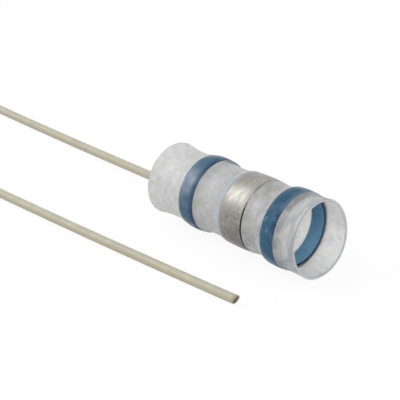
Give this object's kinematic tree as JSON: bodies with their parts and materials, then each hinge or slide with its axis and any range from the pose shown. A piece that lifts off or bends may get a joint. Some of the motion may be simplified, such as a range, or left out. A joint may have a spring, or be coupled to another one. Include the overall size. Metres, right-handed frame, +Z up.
{
  "type": "solder seal wire connector",
  "caption": "Clear heat-shrink sleeve with blue meltable seal rings, a solder ring and a fitted ground lead, slid over a shielded cable and heated to end its shield.",
  "frame": {"origin": "on the floor under the middle of the sleeve, which lies on its side; the lead is left out", "axes": "+X along the sleeve, from the rear mouth that the lead enters to the open front mouth; +Z up from the floor"},
  "size_m": [0.0784, 0.0175, 0.0087],
  "materials": {
    "clear_sleeve": "frosted translucent heat-shrink tubing, faintly milky",
    "blue_seal": "blue meltable sealing plastic, satin",
    "flux_coated_solder": "dull solder with a thin flux coat",
    "plated_copper": "bare plated copper strands, satin",
    "cream_insulation": "cream thin-wall wire insulation, smooth satin"
  },
  "bodies": {
    "root": {"heat_shrink_sleeve": "clear_sleeve", "rear_seal_ring": "blue_seal", "front_seal_ring": "blue_seal", "solder_ring": "flux_coated_solder", "conductor_strand_01": "plated_copper", "conductor_strand_02": "plated_copper", "conductor_strand_03": "plated_copper", "conductor_strand_04": "plated_copper", "conductor_strand_05": "plated_copper", "conductor_strand_06": "plated_copper", "conductor_strand_07": "plated_copper", "conductor_strand_08": "plated_copper", "conductor_strand_09": "plated_copper", "conductor_strand_10": "plated_copper", "conductor_strand_11": "plated_copper", "conductor_strand_12": "plated_copper", "conductor_strand_13": "plated_copper", "conductor_strand_14": "plated_copper", "conductor_strand_15": "plated_copper", "conductor_strand_16": "plated_copper", "conductor_strand_17": "plated_copper", "conductor_strand_18": "plated_copper", "conductor_strand_19": "plated_copper", "lead_wire": "cream_insulation"}
  },
  "joints": []
}
